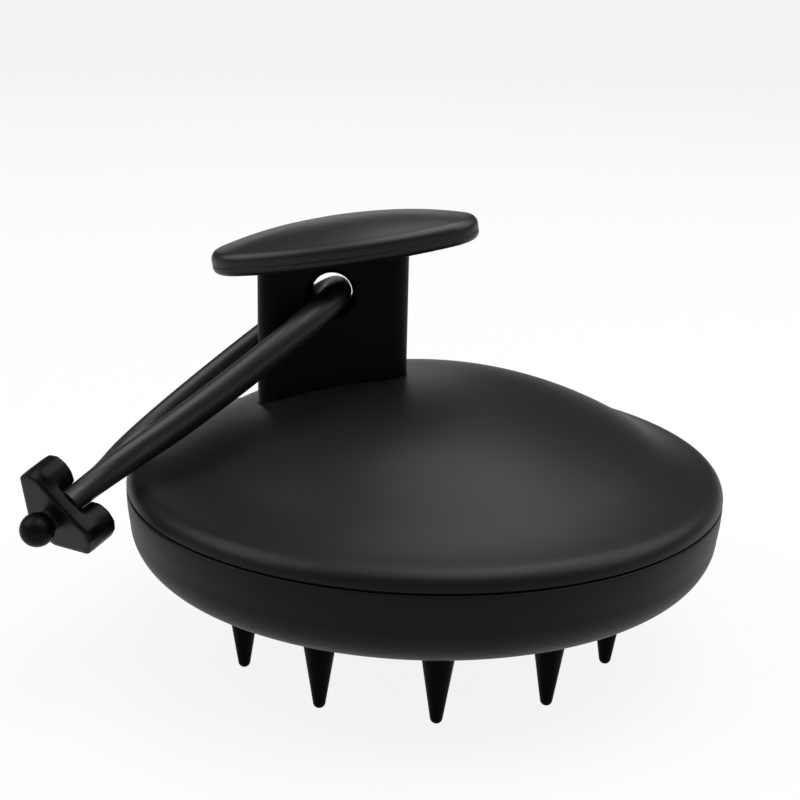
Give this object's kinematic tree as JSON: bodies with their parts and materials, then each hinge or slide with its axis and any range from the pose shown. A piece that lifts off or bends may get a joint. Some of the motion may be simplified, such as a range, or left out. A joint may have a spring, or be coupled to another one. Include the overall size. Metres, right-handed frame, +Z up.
{
  "type": "scalp massager brush",
  "caption": "Round handheld scalp massager with a domed cover, soft cone bristles below, an off-centre post with an oval knob plate, and a rubber strap with a block and ball.",
  "frame": {"origin": "on the axis of the round body, in the plane of the outer bristles' tips that the brush stands on", "axes": "+Z up along the round body's axis, -X towards the post's side where the strap comes down, -Y towards the viewer of the knob's long front edge"},
  "size_m": [0.1015, 0.09, 0.0668],
  "materials": {
    "cover_plastic": "soft-touch satin black",
    "shell_plastic": "soft-touch satin black",
    "post_plastic": "satin black",
    "knob_plastic": "soft-touch satin black",
    "bristle_silicone": "smooth silicone",
    "strap_rubber": "satin silicone",
    "toggle_rubber": "satin silicone",
    "seal_rubber": "matt",
    "inner_plastic": "matt",
    "screw_steel": "satin"
  },
  "bodies": {
    "brush": {"upper_cover": "cover_plastic", "lower_shell": "shell_plastic", "seam_seal": "seal_rubber", "bristle_outer_01": "bristle_silicone", "bristle_outer_02": "bristle_silicone", "bristle_outer_03": "bristle_silicone", "bristle_outer_04": "bristle_silicone", "bristle_outer_05": "bristle_silicone", "bristle_outer_06": "bristle_silicone", "bristle_outer_07": "bristle_silicone", "bristle_outer_08": "bristle_silicone", "bristle_outer_09": "bristle_silicone", "bristle_outer_10": "bristle_silicone", "bristle_outer_11": "bristle_silicone", "bristle_inner_01": "bristle_silicone", "bristle_inner_02": "bristle_silicone", "bristle_inner_03": "bristle_silicone", "bristle_inner_04": "bristle_silicone", "bristle_inner_05": "bristle_silicone", "bristle_inner_06": "bristle_silicone", "bristle_centre": "bristle_silicone", "retaining_disc": "inner_plastic", "retaining_screws": "screw_steel", "body_screws": "screw_steel", "handle_post": "post_plastic", "handle_screws": "screw_steel", "knob_base": "knob_plastic", "knob_cap": "knob_plastic", "knob_screws": "screw_steel"},
    "strap": {"strap_cord": "strap_rubber", "toggle_block": "toggle_rubber", "toggle_ball": "toggle_rubber"}
  },
  "joints": [
    {"name": "strap_swing", "type": "hinge", "parent": "brush", "child": "strap", "pos_m": [-0.0136, 0, 0.0543], "axis": [0, 1, 0], "range_deg": [0, 30]}
  ]
}
